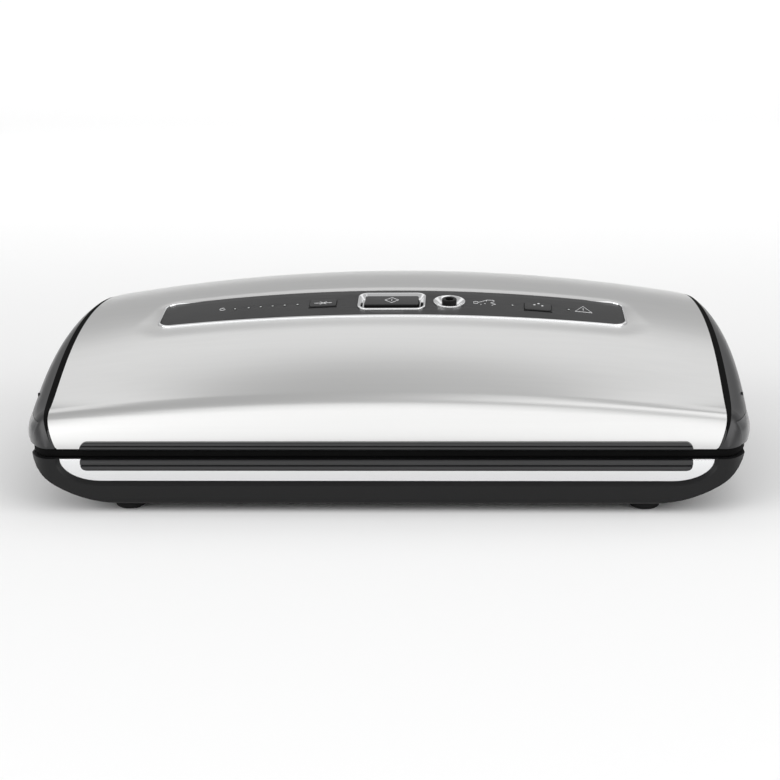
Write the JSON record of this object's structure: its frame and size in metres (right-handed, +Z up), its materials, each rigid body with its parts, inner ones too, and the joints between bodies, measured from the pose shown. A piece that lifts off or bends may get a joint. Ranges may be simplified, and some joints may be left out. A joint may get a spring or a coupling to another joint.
{
  "type": "vacuum sealer",
  "caption": "Countertop bag vacuum sealer with a hinged domed lid, push-button panel, accessory port, seal bar and drip tray.",
  "frame": {"origin": "on the table under the middle of the footprint", "axes": "+X to the right seen from the front, +Y from the front to the back, +Z up; the front grips face -Y"},
  "size_m": [0.423, 0.2335, 0.1039],
  "materials": {
    "gloss_black": "moulded, polished",
    "satin_black": "moulded, satin",
    "inner_black": "moulded, fine texture",
    "steel": "fine brushed grain, side to side",
    "bright_metal": "bright plated",
    "grip_grey": "satin, ridged",
    "foot_rubber": "matt",
    "gasket_foam": "soft closed-cell foam",
    "strip_silicone": "silicone rubber",
    "seal_metal": "drawn",
    "wire_metal": "flat resistance ribbon",
    "release_cloth": "coated glass cloth",
    "tray_grey": "moulded, satin",
    "zinc": "zinc plated",
    "panel_grey": "smooth, semi-gloss",
    "key_black": "polished",
    "flat_key": "satin",
    "button_grey": "satin",
    "light_lens": "clear lens, unlit",
    "board_green": "solder mask",
    "switch_black": "moulded",
    "motor_steel": "drawn can",
    "pump_blue": "moulded",
    "core_metal": "varnished stacked sheet and winding",
    "bracket_metal": "pressed",
    "hose_clear": "translucent silicone"
  },
  "bodies": {
    "base": {"base_shell": "satin_black", "base_deck": "inner_black", "channel_pan": "inner_black", "front_fascia": "bright_metal", "lower_grip": "grip_grey", "foot_front_left": "foot_rubber", "foot_front_right": "foot_rubber", "foot_rear_left": "foot_rubber", "foot_rear_right": "foot_rubber", "seal_bar": "seal_metal", "heating_wire": "wire_metal", "release_tape": "release_cloth", "lower_gasket": "gasket_foam", "drip_tray": "tray_grey", "latch_keepers": "zinc", "hinge_pins": "zinc", "base_screws": "zinc", "cord_bush": "foot_rubber"},
    "lid": {"lid_skin": "steel", "lid_frame": "gloss_black", "end_cap_left": "gloss_black", "end_cap_right": "gloss_black", "upper_grip": "grip_grey", "lid_liner": "inner_black", "upper_gasket": "gasket_foam", "pressure_strip": "strip_silicone", "liner_screws": "zinc", "panel_bezel": "bright_metal", "control_panel": "panel_grey", "start_frame": "bright_metal", "port_dish": "bright_metal", "port_nozzle": "key_black", "status_lights": "light_lens", "circuit_board": "board_green", "touch_switches": "switch_black", "pump_motor": "motor_steel", "pump_head": "pump_blue", "pump_bracket": "bracket_metal", "transformer": "core_metal", "transformer_bracket": "bracket_metal", "vacuum_hose": "hose_clear", "port_hose": "hose_clear", "intake_grommet": "foot_rubber"},
    "start_key": {"start_key": "key_black"},
    "seal_key": {"seal_key": "flat_key"},
    "food_key": {"food_key": "flat_key"},
    "release_left": {"release_button_left": "button_grey", "latch_pawl_left": "switch_black"},
    "release_right": {"release_button_right": "button_grey", "latch_pawl_right": "switch_black"}
  },
  "joints": [
    {"name": "lid_hinge", "type": "hinge", "parent": "base", "child": "lid", "pos_m": [0, 0.112, 0.0375], "axis": [-1, 0, 0], "range_deg": [0, 55]},
    {"name": "start_key_press", "type": "slide", "parent": "lid", "child": "start_key", "axis": [0, 0.155, -0.9879], "range_m": [0, 0.001], "stiffness_N_per_m": 800, "springref_m": -0.001},
    {"name": "seal_key_press", "type": "slide", "parent": "lid", "child": "seal_key", "axis": [0.0375, 0.155, -0.9872], "range_m": [0, 0.001], "stiffness_N_per_m": 800, "springref_m": -0.001},
    {"name": "food_key_press", "type": "slide", "parent": "lid", "child": "food_key", "axis": [-0.0794, 0.155, -0.9847], "range_m": [0, 0.001], "stiffness_N_per_m": 800, "springref_m": -0.001},
    {"name": "release_left_press", "type": "slide", "parent": "lid", "child": "release_left", "axis": [1, 0, 0], "range_m": [0, 0.0025], "stiffness_N_per_m": 1500, "springref_m": -0.002},
    {"name": "release_right_press", "type": "slide", "parent": "lid", "child": "release_right", "axis": [-1, 0, 0], "range_m": [0, 0.0025], "stiffness_N_per_m": 1500, "springref_m": -0.002}
  ]
}
